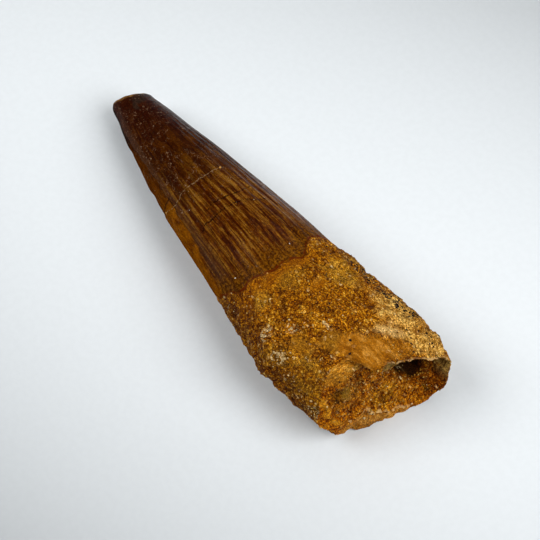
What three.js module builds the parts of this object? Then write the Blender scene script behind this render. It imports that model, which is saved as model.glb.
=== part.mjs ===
// Fossil spinosaurus tooth: the fluted crown and the sandy root, grown as one
// piece, lying on its side with the broken root end open.
//
// Frame in millimetres: +X runs from the tip to the broken root end, +Y is
// the side away from the worn edge, and +Z is up. The origin is the middle of
// the bounding box at the surface that the tooth lies on.
//
// The surface is built from closed rings of points. They start on the blunt
// tip, run along the crown and the root, turn over the broken rim and go down
// into the pulp cavity, where they close on one point.

import * as THREE from "three";
import { mergeVertices } from "three/addons/utils/BufferGeometryUtils.js";

// ---- Rings ----------------------------------------------------------------

const FLUTES = 36;              // grooves around the crown
const POINTS_PER_FLUTE = 3;     // one on the crest and two in the groove
const CROWN_RINGS = 9;
const ROOT_RINGS = 20;

// ---- Long profile -----------------------------------------------------------

// Distance from the tip, half width, full height, sideways bow of the middle
// and height of the underside.
const STATIONS = [
  { x: 0, half: 2.6, tall: 4.7, bow: -0.1, under: 1.6 },
  { x: 6, half: 4.4, tall: 7.0, bow: -0.6, under: 1.1 },
  { x: 14, half: 5.9, tall: 9.6, bow: -1.1, under: 0.7 },
  { x: 22, half: 7.3, tall: 11.6, bow: -1.35, under: 0.4 },
  { x: 31, half: 8.45, tall: 13.6, bow: -1.45, under: 0.1 },
  { x: 41, half: 9.6, tall: 15.4, bow: -1.5, under: 0 },
  { x: 50, half: 10.6, tall: 16.1, bow: -1.6, under: -0.2 },
  { x: 58, half: 11.5, tall: 16.6, bow: -1.7, under: -0.3 },
  { x: 66, half: 11.65, tall: 16.3, bow: -0.75, under: -0.2 },
  { x: 75, half: 10.9, tall: 15.3, bow: 0.6, under: 0 },
];

// ---- Tip ----------------------------------------------------------------------

const TIP_SLANT = 1.3;          // the worn end leans back towards +Y
const TIP_DISH = 0.35;          // depth of the chip in the worn end

// ---- Crown -----------------------------------------------------------------

const FLUTE_DEPTH = 0.24;
const FLUTE_START = 6;          // the flutes fade in over this stretch
const FLUTE_FULL = 24;
// The two cutting edges, each rising over a stretch along the crown.
const EDGES = [
  { angle: 348, from: 1, to: 6, height: 0.28 },
  { angle: 168, from: 25, to: 30, height: 0.2 },
];
const EDGE_WIDTH = 5;           // degrees
// Where the enamel has flaked off below the worn edge.
const FLAKE = { from: 9, to: 25, low: 152, high: 214, depth: 0.17 };

// ---- Root --------------------------------------------------------------------

const CRUST = 0.35;             // the sandy crust stands proud of the crown
const NECK = { mid: 45.6, side: 1.1, top: 3.5 };   // edge of the enamel
const LUMP = 0.5;               // low swells of the crust
const GRIT = 0.5;               // knobs and pits of the crust
// Swells and dents: distance from the tip, angle, reach and height.
const KNOBS = [
  { x: 70, angle: 84, reach: 4.2, height: 0.55 },
  { x: 69.6, angle: 119, reach: 1.9, height: 0.8 },
  { x: 57, angle: 145, reach: 1.6, height: 0.5 },
  { x: 62, angle: 102, reach: 1.5, height: 0.35 },
  { x: 62.5, angle: 122, reach: 2.6, height: -0.5 },
  { x: 66.4, angle: 104, reach: 2.0, height: -0.4 },
  { x: 56.5, angle: 206, reach: 2.8, height: -0.9 },
  { x: 58, angle: 330, reach: 3.0, height: -0.5 },
  { x: 69, angle: 300, reach: 2.4, height: 0.4 },
];

// ---- Broken end ----------------------------------------------------------------

// How far the rim reaches from the tip, at each angle around the end.
const RIM = [
  [0, 75.0], [20, 75.1], [40, 75.1], [58, 75.0], [70, 74.6], [85, 74.0],
  [93, 73.1], [103, 73.2], [107, 70.4], [112, 68.8], [125, 68.6], [145, 69.6],
  [156, 70.2], [170, 70.7], [185, 71.7], [200, 72.9], [212, 73.3], [226, 73.0],
  [236, 72.1], [242, 73.3], [252, 73.9], [265, 74.2], [284, 74.9], [300, 75.6],
  [318, 76.0], [338, 75.5],
];
// Where the wall is worn round towards the rim: how far in and over what
// stretch, and the angles between which the wear comes and goes.
const WEAR = [
  { depth: 1.0, reach: 2.8, start: -14, full: 20, fade: 46, end: 74 },
  { depth: 0.6, reach: 1.4, start: 99, full: 106, fade: 114, end: 126 },
];
// Shares of the rim's size at which the rings of the broken end lie. They
// shrink towards the middle of the hollow.
const END_RINGS = [0.965, 0.91, 0.86, 0.8, 0.73, 0.65, 0.56, 0.46, 0.35, 0.23, 0.11];
// Slope of the sandy fill: distance from the tip at the ground, and how much
// less it is for each millimetre up.
const FILL = { low: 74.3, back: 0.33, grit: 0.45 };
const MIDDLE = { y: 4.4, z: 9.2 };
// The open part of the pulp cavity lies under the high side of the wall,
// beyond a slanting line across the end.
const HOLLOW = {
  start: 8.4,                   // y + z on the line
  slope: 2.1,                   // width of the slope beyond the line
  left: 1.8,                    // width of the slope on the left
  depth: 8,
  shallow: 0.75,                // share of the depth lost at the right wall
  shallowFrom: 6.5,
  shallowTo: 10.5,
};
// A small pocket beside the left wall.
const POCKET = { y: -8.3, z: 10.3, radius: 2.0, depth: 1.8 };

// ---- Helpers ---------------------------------------------------------------------

function degrees(angle) {
  return (angle * Math.PI) / 180;
}

function smooth(from, to, value) {
  const t = Math.min(Math.max((value - from) / (to - from), 0), 1);
  return t * t * (3 - 2 * t);
}

// Smallest turn between two angles in degrees.
function turn(a, b) {
  return Math.abs(((a - b + 540) % 360) - 180);
}

// Smooth curve through the points [x, y], with level ends.
function curve(points, x) {
  const last = points.length - 1;
  let i = 0;
  while (i < last - 1 && x > points[i + 1][0]) {
    i += 1;
  }
  const slope = (k) => {
    const a = points[Math.max(k - 1, 0)];
    const b = points[Math.min(k + 1, last)];
    return (b[1] - a[1]) / (b[0] - a[0]);
  };
  const [x0, y0] = points[i];
  const [x1, y1] = points[i + 1];
  const width = x1 - x0;
  const t = (x - x0) / width;
  const t2 = t * t;
  const t3 = t2 * t;
  return (2 * t3 - 3 * t2 + 1) * y0 + (t3 - 2 * t2 + t) * width * slope(i)
    + (3 * t2 - 2 * t3) * y1 + (t3 - t2) * width * slope(i + 1);
}

function profile(x, name) {
  return curve(STATIONS.map((station) => [station.x, station[name]]), x);
}

// Repeatable value from 0 to 1 for a corner of the noise lattice.
function corner(i, j, k) {
  const value = Math.sin(i * 127.1 + j * 311.7 + k * 74.7) * 43758.5453;
  return value - Math.floor(value);
}

// Smooth noise from -1 to 1 with one lump in each unit cell.
function noise(x, y, z) {
  const [i, j, k] = [Math.floor(x), Math.floor(y), Math.floor(z)];
  const [u, v, w] = [smooth(0, 1, x - i), smooth(0, 1, y - j), smooth(0, 1, z - k)];
  let sum = 0;
  for (const [a, share] of [[0, 1 - u], [1, u]]) {
    for (const [b, part] of [[0, 1 - v], [1, v]]) {
      sum += share * part * (1 - w) * corner(i + a, j + b, k);
      sum += share * part * w * corner(i + a, j + b, k + 1);
    }
  }
  return 2 * sum - 1;
}

// ---- Edges between the areas, at an angle around the tooth ------------------------

function tipEdge(angle) {
  return TIP_SLANT * (1 + Math.cos(degrees(angle - 20))) - 0.2;
}

function neckEdge(angle) {
  const a = degrees(angle);
  return NECK.mid + NECK.side * Math.cos(a) + NECK.top * Math.sin(a)
    + 0.35 * Math.sin(5 * a + 1) + 0.25 * Math.sin(11 * a);
}

function rimEdge(angle) {
  const first = RIM[0];
  return curve([...RIM, [360, first[1]]], angle);
}

// ---- Relief, outwards from the plain oval section -----------------------------------

function crownRelief(x, angle) {
  const fade = smooth(FLUTE_START, FLUTE_FULL, x);
  const flute = FLUTE_DEPTH * fade * (Math.cos(degrees(FLUTES * angle)) - 1) / 1.5;
  let edge = 0;
  for (const ridge of EDGES) {
    edge += ridge.height * smooth(ridge.from, ridge.to, x)
      * Math.exp(-((turn(angle, ridge.angle) / EDGE_WIDTH) ** 2));
  }
  const along = smooth(FLAKE.from, FLAKE.from + 3, x) * smooth(FLAKE.to, FLAKE.to - 3, x);
  const across = smooth(FLAKE.low - 2, FLAKE.low + 2, angle)
    * smooth(FLAKE.high + 6, FLAKE.high - 6, angle);
  return flute + edge - FLAKE.depth * along * across;
}

function rootRelief(x, angle, y, z) {
  let relief = CRUST;
  relief += LUMP * noise(x / 6, y / 6, z / 6);
  relief += GRIT * noise(x / 1.9, y / 1.9, z / 1.9);
  const radius = 0.5 * (profile(x, "half") + profile(x, "tall") / 2);
  for (const knob of KNOBS) {
    const reach = Math.hypot(x - knob.x, degrees(turn(angle, knob.angle)) * radius);
    relief += knob.height * Math.exp(-((reach / knob.reach) ** 2));
  }
  return relief;
}

// How far the wall is worn inwards near the rim.
function rimWear(x, angle) {
  const side = ((angle + 180) % 360) - 180;
  let depth = 0;
  for (const worn of WEAR) {
    depth += worn.depth * smooth(worn.reach, 0, rimEdge(angle) - x)
      * smooth(worn.start, worn.full, side) * smooth(worn.end, worn.fade, side);
  }
  return depth;
}

// ---- Points of the surface --------------------------------------------------------------

// Point on the plain oval section at x, at a share of its size.
function oval(x, angle, share) {
  const a = degrees(angle);
  const tall = profile(x, "tall") / 2;
  const y = profile(x, "bow") + profile(x, "half") * share * Math.cos(a);
  const z = profile(x, "under") + tall + tall * share * Math.sin(a);
  return new THREE.Vector3(x, y, z);
}

// The same point moved outwards, and flattened where it meets the ground.
function outside(x, angle, relief) {
  const radius = 0.5 * (profile(x, "half") + profile(x, "tall") / 2);
  const point = oval(x, angle, 1 + relief / radius);
  point.z = Math.max(point.z, 0);
  return point;
}

function crownPoint(angle, share) {
  const from = tipEdge(angle);
  const x = from + share * (neckEdge(angle) - from);
  return outside(x, angle, crownRelief(x, angle));
}

function rootPoint(angle, share) {
  const from = neckEdge(angle) + 0.3;
  const x = from + share * (rimEdge(angle) - from);
  const plain = oval(x, angle, 1);
  return outside(x, angle, rootRelief(x, angle, plain.y, plain.z) - rimWear(x, angle));
}

// The worn end of the tip, from its edge to its middle.
function tipPoint(angle, share) {
  const point = oval(tipEdge(angle), angle, share);
  point.x += (1 - share) * (TIP_DISH - tipEdge(angle) + TIP_SLANT);
  return point;
}

// How deep the hollow and the pocket lie behind the slope of the fill.
function sunk(y, z) {
  const across = (y + z - HOLLOW.start) / Math.SQRT2;
  const hollow = HOLLOW.depth * smooth(0, HOLLOW.slope, across) * smooth(0, HOLLOW.left, y)
    * (1 - HOLLOW.shallow * smooth(HOLLOW.shallowFrom, HOLLOW.shallowTo, y));
  const off = Math.hypot(y - POCKET.y, z - POCKET.z) / POCKET.radius;
  return hollow + POCKET.depth * smooth(1, 0.2, off);
}

// The broken end: the thin rim, then the sandy fill with its hollow.
function endPoint(angle, share) {
  const point = rootPoint(angle, 1);
  point.y = MIDDLE.y + share * (point.y - MIDDLE.y);
  point.z = MIDDLE.z + share * (point.z - MIDDLE.z);
  const fill = FILL.low - FILL.back * point.z
    + FILL.grit * noise(point.y / 1.7, point.z / 1.7, 9)
    - sunk(point.y, point.z);
  point.x += smooth(0.95, 0.84, share) * (fill - point.x);
  return point;
}

// ---- Solid --------------------------------------------------------------------------------

function ring(place) {
  const count = FLUTES * POINTS_PER_FLUTE;
  const points = [];
  for (let i = 0; i < count; i += 1) {
    points.push(place((360 * i) / count));
  }
  return points;
}

function centre(points) {
  const middle = new THREE.Vector3();
  points.forEach((point) => middle.add(point));
  return middle.divideScalar(points.length);
}

function toothRings() {
  const rings = [ring((angle) => tipPoint(angle, 0.5)), ring((angle) => tipPoint(angle, 0.9))];
  for (let i = 0; i <= CROWN_RINGS; i += 1) {
    rings.push(ring((angle) => crownPoint(angle, i / CROWN_RINGS)));
  }
  for (let i = 0; i <= ROOT_RINGS; i += 1) {
    rings.push(ring((angle) => rootPoint(angle, i / ROOT_RINGS)));
  }
  for (const share of END_RINGS) {
    rings.push(ring((angle) => endPoint(angle, share)));
  }
  return rings;
}

// Skins the rings one to the next and closes both ends on a middle point.
function skin(rings) {
  const count = rings[0].length;
  const last = rings.length - 1;
  const vertices = [...rings.flat(), centre(rings[0]), centre(rings[last])];
  const tip = rings.length * count;
  const faces = [];
  for (let i = 0; i < count; i += 1) {
    const next = (i + 1) % count;
    faces.push(tip, next, i);
    faces.push(tip + 1, last * count + i, last * count + next);
    for (let row = 0; row < last; row += 1) {
      const here = row * count;
      const beyond = here + count;
      faces.push(here + i, here + next, beyond + next);
      faces.push(here + i, beyond + next, beyond + i);
    }
  }
  const geometry = new THREE.BufferGeometry().setFromPoints(vertices);
  geometry.setIndex(faces);
  return mergeVertices(geometry, 1e-3);
}

function toothGeometry() {
  const geometry = skin(toothRings());
  geometry.computeBoundingBox();
  const box = geometry.boundingBox;
  const middle = box.getCenter(new THREE.Vector3());
  geometry.translate(-middle.x, -middle.y, -box.min.z);
  geometry.computeVertexNormals();
  return geometry;
}

const material = new THREE.MeshStandardMaterial({
  color: 0x7d4a1a,
  roughness: 0.6,
  metalness: 0,
});

const tooth = new THREE.Mesh(toothGeometry(), material);
tooth.name = "tooth";

const part = new THREE.Group();
part.name = "spinosaurus_tooth";
part.add(tooth);

export default part;
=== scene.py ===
"""Fossil spinosaurus tooth: glossy fluted crown, sandy root and open pulp cavity.

The shape is worked out in millimetres. Distances run along x from the tip, and
angles run around the tooth in degrees, from +Y towards +Z. SHIFT brings the
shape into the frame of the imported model.
"""
import math

import bpy
import numpy as np
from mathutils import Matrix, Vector


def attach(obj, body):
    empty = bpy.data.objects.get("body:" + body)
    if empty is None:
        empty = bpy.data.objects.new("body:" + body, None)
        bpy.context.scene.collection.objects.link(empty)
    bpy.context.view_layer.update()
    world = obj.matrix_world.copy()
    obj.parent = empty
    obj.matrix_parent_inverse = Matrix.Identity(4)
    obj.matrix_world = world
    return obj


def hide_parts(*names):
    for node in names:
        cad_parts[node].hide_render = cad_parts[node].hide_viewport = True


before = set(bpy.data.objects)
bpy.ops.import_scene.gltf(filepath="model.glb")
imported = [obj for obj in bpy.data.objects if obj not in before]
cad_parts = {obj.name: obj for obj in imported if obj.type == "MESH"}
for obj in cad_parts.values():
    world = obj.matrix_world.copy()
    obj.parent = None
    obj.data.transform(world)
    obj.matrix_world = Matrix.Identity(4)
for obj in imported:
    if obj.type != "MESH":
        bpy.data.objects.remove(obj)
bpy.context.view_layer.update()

MM = 0.001

# ---- Shape, as in the solid ----

SOLID_STEP, SOLID_ROWS = 10 / 3, 21     # degrees between its points, and the root's rings
FLUTES, FLUTE_START, FLUTE_FULL = 36, 6, 24
# Distance from the tip, half width, full height, sideways bow, underside.
STATIONS = [
    (0, 2.6, 4.7, -0.1, 1.6),
    (6, 4.4, 7, -0.6, 1.1),
    (14, 5.9, 9.6, -1.1, 0.7),
    (22, 7.3, 11.6, -1.35, 0.4),
    (31, 8.45, 13.6, -1.45, 0.1),
    (41, 9.6, 15.4, -1.5, 0),
    (50, 10.6, 16.1, -1.6, -0.2),
    (58, 11.5, 16.6, -1.7, -0.3),
    (66, 11.65, 16.3, -0.75, -0.2),
    (75, 10.9, 15.3, 0.6, 0),
]
HALF, TALL, BOW, UNDER = 1, 2, 3, 4
TIP_SLANT, TIP_TURN, TIP_START, TIP_DISH = 1.3, 20, -0.2, 0.35
# Cutting edges: angle, height, and the stretch along which they rise.
EDGES = [(348, 0.28, 1, 6), (168, 0.2, 25, 30)]
EDGE_WIDTH = 5
# Where the enamel has flaked off beside the worn edge.
FLAKE = dict(along=(9, 10.5, 24.6, 25.6), underside=(222, 206), depth=0.17)
NECK_MID, NECK_SIDE, NECK_TOP = 45.6, 1.1, 3.5
CRUST = 0.35
# Where the crust's edge runs off the solid's: angle, distance.
NECK_TRIM = [
    (0, 0), (30, -0.9), (44, -1.4), (60, -1.3), (70, -0.5), (78, 0.4), (92, 0.1), (104, 0.8),
    (122, 0.8), (145, 0.6), (165, 0.1), (190, 0), (360, 0),
]
# Swells and dents: distance from the tip, angle, reach and height.
KNOBS = [
    (70, 84, 4.2, 0.55),
    (69.6, 119, 1.9, 0.8),
    (57, 145, 1.6, 0.5),
    (62, 102, 1.5, 0.35),
    (62.5, 122, 2.6, -0.5),
    (66.4, 104, 2, -0.4),
    (56.5, 206, 2.8, -0.9),
    (58, 330, 3, -0.5),
    (69, 300, 2.4, 0.4),
]
# Angle and distance from the tip of the broken rim.
RIM = [
    (0, 75), (20, 75.1), (40, 75.1), (58, 75), (70, 74.6), (85, 74), (92, 73.1),
    (102, 73.4), (107, 70.3), (112, 68.6), (122, 68.4), (132, 69), (145, 69.6), (156, 70.2),
    (170, 70.7), (185, 71.7), (200, 72.9), (212, 73.3), (226, 73), (232, 72.5), (236, 72.1),
    (242, 73.3), (252, 73.9), (265, 74.2), (284, 74.9), (300, 75.6), (318, 76), (338, 75.5),
    (360, 75),
]
FILL_LOW, FILL_BACK, FILL_GRIT = 74.3, 0.33, 0.45
MIDDLE = dict(y=4.4, z=9.2)
HOLLOW = dict(start=8.4, slope=2.1, left=2.6, right=5, depth=8, bottom=67, wall=0.2)
# The wall is worn round towards the rim: depth, reach, and the angles of the wear.
WEAR = [(1, 2.8, -14, 20, 46, 74), (0.6, 1.4, 99, 106, 114, 126)]
POCKET = dict(y=-8.3, z=10.3, radius=2, depth=1.8)

# ---- Camera and lamps ----

AZIMUTH, ELEVATION, DISTANCE = math.radians(54.33), 58, 0.28
AIM = Vector((0.0073, -0.00086, 0.008))
RIGHT = Vector((math.cos(AZIMUTH), math.sin(AZIMUTH), 0))
AWAY = Vector((-math.sin(AZIMUTH), math.cos(AZIMUTH), 0))
LAMP_DISTANCE = 0.6
# How far each lamp is turned from the picture's right, how high it is, its size and level.
LAMPS = [
    ("window", 330, 45, 0.5, 0.66), ("second", 180, 48, 0.4, 0.43), ("third", 85, 60, 0.5, 0.13),
]

# ---- Finer shape ----

AROUND = 540                    # points in a ring
ANGLE = (np.arange(AROUND) * 360 / AROUND)[None, :]
CAP_ROWS, CROWN_ROWS, ROOT_ROWS, END_ROWS = 9, 165, 150, 84
FLUTE_SWING = 0.07              # half the depth of a groove
FLUTE_FADE = (34, 46)           # where the grooves grow flatter again
TIP_ROUNDING, TIP_REACH = 0.2, 1.1
CRUST_THINNING = 2.2            # over how much of its edge the crust grows to its full height
UNDER_CRUST = 1.2               # how far the enamel goes on under the crust
NOTCH = dict(at=20.8, side=199, reach=1.1, depth=0.4, radius=7)
# Finer swells and dents than the solid has, on the crown and on the root.
CROWN_TRIM = [(0.3, 199, 2.4, 0.55), (2, 20, 1.4, 0.3), (19, 200, 3, 0.12)]
ROOT_TRIM = [
    (49.2, 196, 2, 0.25), (54.6, 190, 1.9, 0.45), (61.2, 192, 2.6, -0.55),
    (66.5, 187, 1.5, 0.22), (70.4, 185, 1.4, -0.2), (57.5, 13, 4, -0.2),
    (64.3, 19, 1.2, 0.22), (66.7, 22, 1.1, -0.3), (71.2, 24, 1.5, 0.3),
    (73.2, 200, 2, -0.6),
]
# Where the inner edge of the broken wall runs: angle, share of the rim's size.
WALL_EDGE = [
    (0, 0.93), (60, 0.95), (79, 0.93), (85, 0.84), (92, 0.53), (100, 0.7), (107, 0.77),
    (114, 0.72), (128, 0.72), (142, 0.84), (152, 0.94), (164, 0.94), (179, 0.87), (192, 0.85),
    (204, 0.85), (213, 0.74), (222, 0.63), (235, 0.66), (249, 0.71), (263, 0.79), (275, 0.87),
    (286, 0.93), (300, 0.95), (330, 0.93), (360, 0.93),
]
# How wide the broken face of the wall is: angle, share of the rim's size.
WALL_FACE = [
    (0, 0.975), (60, 0.975), (79, 0.96), (85, 0.88), (92, 0.56), (100, 0.74), (106, 0.95),
    (114, 0.985), (300, 0.985), (320, 0.975), (360, 0.975),
]
FACE_DROP = 0.35                # how far that face leans in beside the tongue
# Angles between which the parts of the broken wall lie: start, full, fade and end.
TONGUE_FACE = (78, 84, 98, 105)
LEANING_WALL = (99, 107, 136, 146)
WARM_WALL = (146, 158, 206, 216)
LEFT_WALL = (140, 152, 292, 306)
LOWER_CREST = (212, 224, 284, 300)
LOWER_WALL = (210, 224, 284, 300)
THIN_CREST, THIN_WALL = (320, 345, 76, 92), (322, 338, 30, 40)

# ---- Places of the looks ----

# Upper edge of the bare strip under the cutting edge: distance and angle.
STRIP = [
    (0, 172), (6, 166), (8.5, 162), (10.4, 161), (12.9, 157), (15.3, 155), (17.1, 153),
    (19.3, 150), (21, 149), (22.7, 150), (23.9, 152), (25.9, 149), (28, 150), (33, 155),
    (38.7, 160), (44, 163), (50, 164),
]
STRIP_LOW = (250, 225)          # angles over which it ends low on the flank
# Hairline cracks of the crown: distance from the tip at each angle.
CRACKS = [
    [(62, 26.9), (76, 26.5), (96, 26.8), (122, 26.5), (134, 27), (150, 27), (172, 26),
     (186, 25.8)],
    [(58, 36.6), (70, 36), (78, 35.1), (88, 34.8), (104, 34.7), (118, 34.8), (129, 34.6),
     (138, 35.2)],
    [(60, 32.8), (77, 33.2), (94, 32.6), (108, 32.4), (118, 32.9)],
]
# Tint and width of each crack.
CRACK_LOOKS = [
    ((0.24, 0.145, 0.07), 0.085), ((0.01, 0.002, 0.0005), 0.15), ((0.012, 0.003, 0.0005), 0.13),
]
# Zones of the root: distance from the tip, angle, reach along and reach around.
PAD = [(70.2, 98, 2.9, 2.8), (67.4, 100, 2, 1.8)]
PEACH = PAD + [(71.8, 79, 2, 2.4), (69.6, 117, 1, 1)]
TAN = [
    (68.4, 67, 2.4, 1.8), (65.8, 59, 2, 2), (70.4, 60, 2.4, 2.2), (72, 50, 2.4, 3.2),
    (63.2, 46, 2.4, 2.6), (68, 46, 3, 3), (66, 32, 4.5, 2.6), (72, 34, 3, 2.6),
]
KHAKI = [
    (65.1, 108, 2, 1.8), (62, 128, 1.9, 1.5), (61, 147, 3, 2.4), (66, 158, 3.5, 2.4),
    (70.1, 173, 2.5, 1.6), (54, 25, 4, 2), (52.5, 98, 2, 3),
]
GOLDEN = [(51.8, 129, 2.2, 2.4), (56, 58, 3.5, 3), (66, 135, 2.5, 1.6)]
PALE = [
    (57.1, 141, 1.1, 1.3), (62.4, 102, 1.4, 0.4), (61, 147, 1.6, 1.8), (59.1, 121, 1.3, 1.2),
    (67.2, 118, 0.4, 0.35), (64.4, 154, 0.9, 0.8), (70.1, 173, 1.6, 1.4),
]
SMOOTH = [
    (50.6, 118, 2.2, 6.5), (50.6, 90, 1.6, 6), (62, 128, 1.8, 1.4), (65.1, 108, 1.9, 1.7),
    (56, 84, 1.2, 1.6), (50.5, 145, 2.2, 3.5),
]
# Black smears on the tip.
SMEARS = [(3.6, 86, 1.5, 1), (2.4, 66, 2.4, 0.8), (4.8, 100, 1.6, 0.6)]
# Zones of the fill: y and z of the middle, reach across and reach up.
FILL_GOLDEN, FILL_OLIVE = (0, 4.4, 3.5, 2.6), (-6.2, 10.2, 2.2, 1.7)
# Painted shade on the sand in front of the hollow: its middle and reach across, and where it
# begins.
DIM = dict(middle=12, reach=2.8, start=(-0.5, 1.5))
RIBS = (0.84, 0.92, 0.985, 0.998)       # inside the thin wall, by share of the rim's size
# Bright rays on the broken wall left of the tongue, partly painted highlight.
RAYS = (0.88, 122, 0.14, 9)             # share and angle of the middle, and their reaches
# Stretches over which the looks of the crown change: distances from the tip.
TIP_TO_PLAIN, PLAIN_TO_STREAKS = (8, 17), (20, 32)
STRIP_START, STRIP_WARMER, STRIP_SHADOW_LINE = (5, 11), (17, 30), (34, 26)
FEWER_SCUFFS = (38, 24)
# Bands on the crown: middle, reach and full width of the angles or distances.
PAINTED_SHEEN_BAND, SCUFFED_BAND, SCUFFED_STRETCH = (151, 14, 5), (141, 12, 6), (17, 10, 6)
PALE_RIM = (106, 36, 18)
# Angles over which the gloss fades off the upper flank and comes back on the lower one.
UPPER_GLOSS, LOWER_GLOSS = (42, 96), (126, 150)
# The cream ridge of the root, partly painted highlight, its flank darkened with painted shade, and
# the worn lip at its end.
RIDGE_SIDE, RIDGE_END, RIDGE_START = (56, 66), (71.5, 69.5), (66, 68)
FLANK, FLANK_SHADE, LIP = (130, 155), (132, 170), (45, 52, 44)
# Where the small black pores lie, and where they thin out.
PORES_SIDE, PORES_START, FEWER_BACK, FEWER_LOW = (46, 43), (4, 8), (65, 68.5), (30, 10)
# Large pores of the root: distance from the tip, angle and radius.
PORES = [
    (49.9, 48, 0.18), (53.6, 40, 0.2), (58.2, 35, 0.18), (59.1, 40, 0.22), (60.9, 40, 0.25),
    (61.8, 36, 0.2), (62.6, 40, 0.28), (63.1, 37, 0.2), (63.8, 32, 0.26), (65.1, 43, 0.22),
    (65, 32, 0.3), (65.3, 24, 0.2), (66.9, 30, 0.28), (63.6, 64, 0.18), (64.3, 62, 0.16),
    (66.3, 55, 0.16), (69.3, 54, 0.26), (70.3, 56, 0.2), (71, 59, 0.17), (71.8, 63, 0.2),
    (72.6, 61, 0.15), (70.2, 43, 0.2), (72.9, 46, 0.18), (73.2, 66, 0.2), (74.3, 50, 0.2),
    (74.5, 41, 0.18), (66.6, 98, 0.22), (68.2, 106, 0.24), (59.8, 88, 0.26), (60.9, 94, 0.22),
]
CRUST_GRAINS, FILL_GRAINS = 4200, 1200
BLACK, QUARTZ = (0.008, 0.005, 0.004), (0.66, 0.47, 0.2)
# Pale flecks of the crown and its edge: distance, angle, radius and tint.
GOLD, WHITE, HORN = (0.55, 0.27, 0.05), (0.75, 0.68, 0.6), (0.3, 0.2, 0.12)
FLECKS = [
    (26.8, 69, 0.3, GOLD), (26.1, 171, 0.26, GOLD), (49.1, 111, 0.26, GOLD),
    (46.9, 77, 0.15, WHITE), (45.9, 138, 0.26, WHITE), (29.6, 70, 0.16, HORN),
    (34.9, 88, 0.18, HORN), (27.4, 120, 0.14, HORN), (16.6, 136, 0.12, HORN),
    (11.3, 99, 0.12, HORN), (5.5, 131, 0.14, HORN), (30.2, 134, 0.12, WHITE),
    (36, 71, 0.13, HORN), (13, 140, 0.12, HORN),
]
# Tints of the sand and how common each is.
SAND = [
    ((0.27, 0.105, 0.003), 0.36), ((0.4, 0.185, 0.018), 0.24), ((0.14, 0.042, 0.001), 0.2),
    ((0.55, 0.33, 0.07), 0.09), ((0.66, 0.5, 0.24), 0.012), ((0.035, 0.01, 0.001), 0.06),
    ((0.24, 0.13, 0.015), 0.06),
]


# ---- Numbers ----

def smooth(start, end, value):
    """Rises from 0 to 1 between start and end, or falls where end is the lower."""
    t = np.clip((value - start) / (end - start), 0, 1)
    return t * t * (3 - 2 * t)


def window(value, start, full, fade, end):
    """One between full and fade, and zero before start and after end."""
    return smooth(start, full, value) * smooth(end, fade, value)


def bell(value):
    return np.exp(-(value**2))


def turn(a, b):
    """The angle between two angles, from 0 to 180."""
    return np.abs((a - b + 540) % 360 - 180)


def curve(points, x, column=1):
    """Smooth curve through rows of points, as in the solid."""
    table = np.array(points, float)
    px, py = table[:, 0], table[:, column]
    slope = np.empty_like(py)
    slope[1:-1] = (py[2:] - py[:-2]) / (px[2:] - px[:-2])
    slope[0] = (py[1] - py[0]) / (px[1] - px[0])
    slope[-1] = (py[-1] - py[-2]) / (px[-1] - px[-2])
    i = np.clip(np.searchsorted(px, x) - 1, 0, len(px) - 2)
    width = px[i + 1] - px[i]
    t = (x - px[i]) / width
    return (
        (2 * t**3 - 3 * t**2 + 1) * py[i]
        + (t**3 - 2 * t**2 + t) * width * slope[i]
        + (3 * t**2 - 2 * t**3) * py[i + 1]
        + (t**3 - t**2) * width * slope[i + 1]
    )


def corner(i, j, k):
    """A random number from 0 to 1 for each corner of a cell."""
    value = np.sin(i * 127.1 + j * 311.7 + k * 74.7) * 43758.5453
    return value - np.floor(value)


def noise(x, y, z):
    """Smooth noise from -1 to 1, one lump to a unit cell, as in the solid."""
    x, y, z = np.broadcast_arrays(x, y, z)
    i, j, k = np.floor(x), np.floor(y), np.floor(z)
    u, v, w = smooth(0, 1, x - i), smooth(0, 1, y - j), smooth(0, 1, z - k)
    total = np.zeros(x.shape)
    for a, share in ((0, 1 - u), (1, u)):
        for b, part in ((0, 1 - v), (1, v)):
            total += share * part * (1 - w) * corner(i + a, j + b, k)
            total += share * part * w * corner(i + a, j + b, k + 1)
    return 2 * total - 1


def lumps(p, size, seed=0):
    return noise(p[..., 0] / size + seed, p[..., 1] / size, p[..., 2] / size)


def ring_noise(angle, fineness, seed):
    """Noise around the tooth that meets itself."""
    a = np.radians(angle)
    return noise(fineness * np.cos(a), fineness * np.sin(a), seed)


def stacked(*values):
    return np.stack(np.broadcast_arrays(*values), -1)


# ---- Surface ----

def radius(x):
    """Halfway between half the width and half the height."""
    return 0.5 * (curve(STATIONS, x, HALF) + curve(STATIONS, x, TALL) / 2)


def oval(x, angle, share):
    """A place on the plain cross-section, or at a share of the way out to it."""
    a = np.radians(angle)
    tall = curve(STATIONS, x, TALL) / 2
    y = curve(STATIONS, x, BOW) + curve(STATIONS, x, HALF) * share * np.cos(a)
    z = curve(STATIONS, x, UNDER) + tall + tall * share * np.sin(a)
    return stacked(x, y, z)


def outside(x, angle, relief):
    """A place on the surface, raised by the relief and cut off at the ground."""
    point = oval(x, angle, 1 + relief / radius(x))
    point[..., 2] = np.maximum(point[..., 2], 0)
    return point


def away(x, angle, at, side):
    """How far each place lies from one given by its distance and its angle."""
    return np.hypot(x - at, np.radians(turn(angle, side)) * radius(x))


def swells(x, angle, spots):
    """The sum of a set of swells and dents."""
    return sum(
        height * bell(away(x, angle, at, side) / reach) for at, side, reach, height in spots)


def zones(x, spots, plain=None):
    """How far each place lies in a set of spots, from 0 to 1; ragged where places are given."""
    level = 0 * x
    for at, side, along, around in spots:
        arc = np.radians(turn(ANGLE, side)) * radius(at)
        level = np.maximum(level, bell(np.hypot((x - at) / along, arc / around)))
    if plain is not None:
        for height, size, seed in ((0.3, 1.9, 3), (0.2, 0.8, 6), (0.1, 0.4, 9)):
            level = level + height * lumps(plain, size, seed)
    return level


def tip_edge(angle):
    return TIP_SLANT * (1 + np.cos(np.radians(angle - TIP_TURN))) + TIP_START


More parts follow.
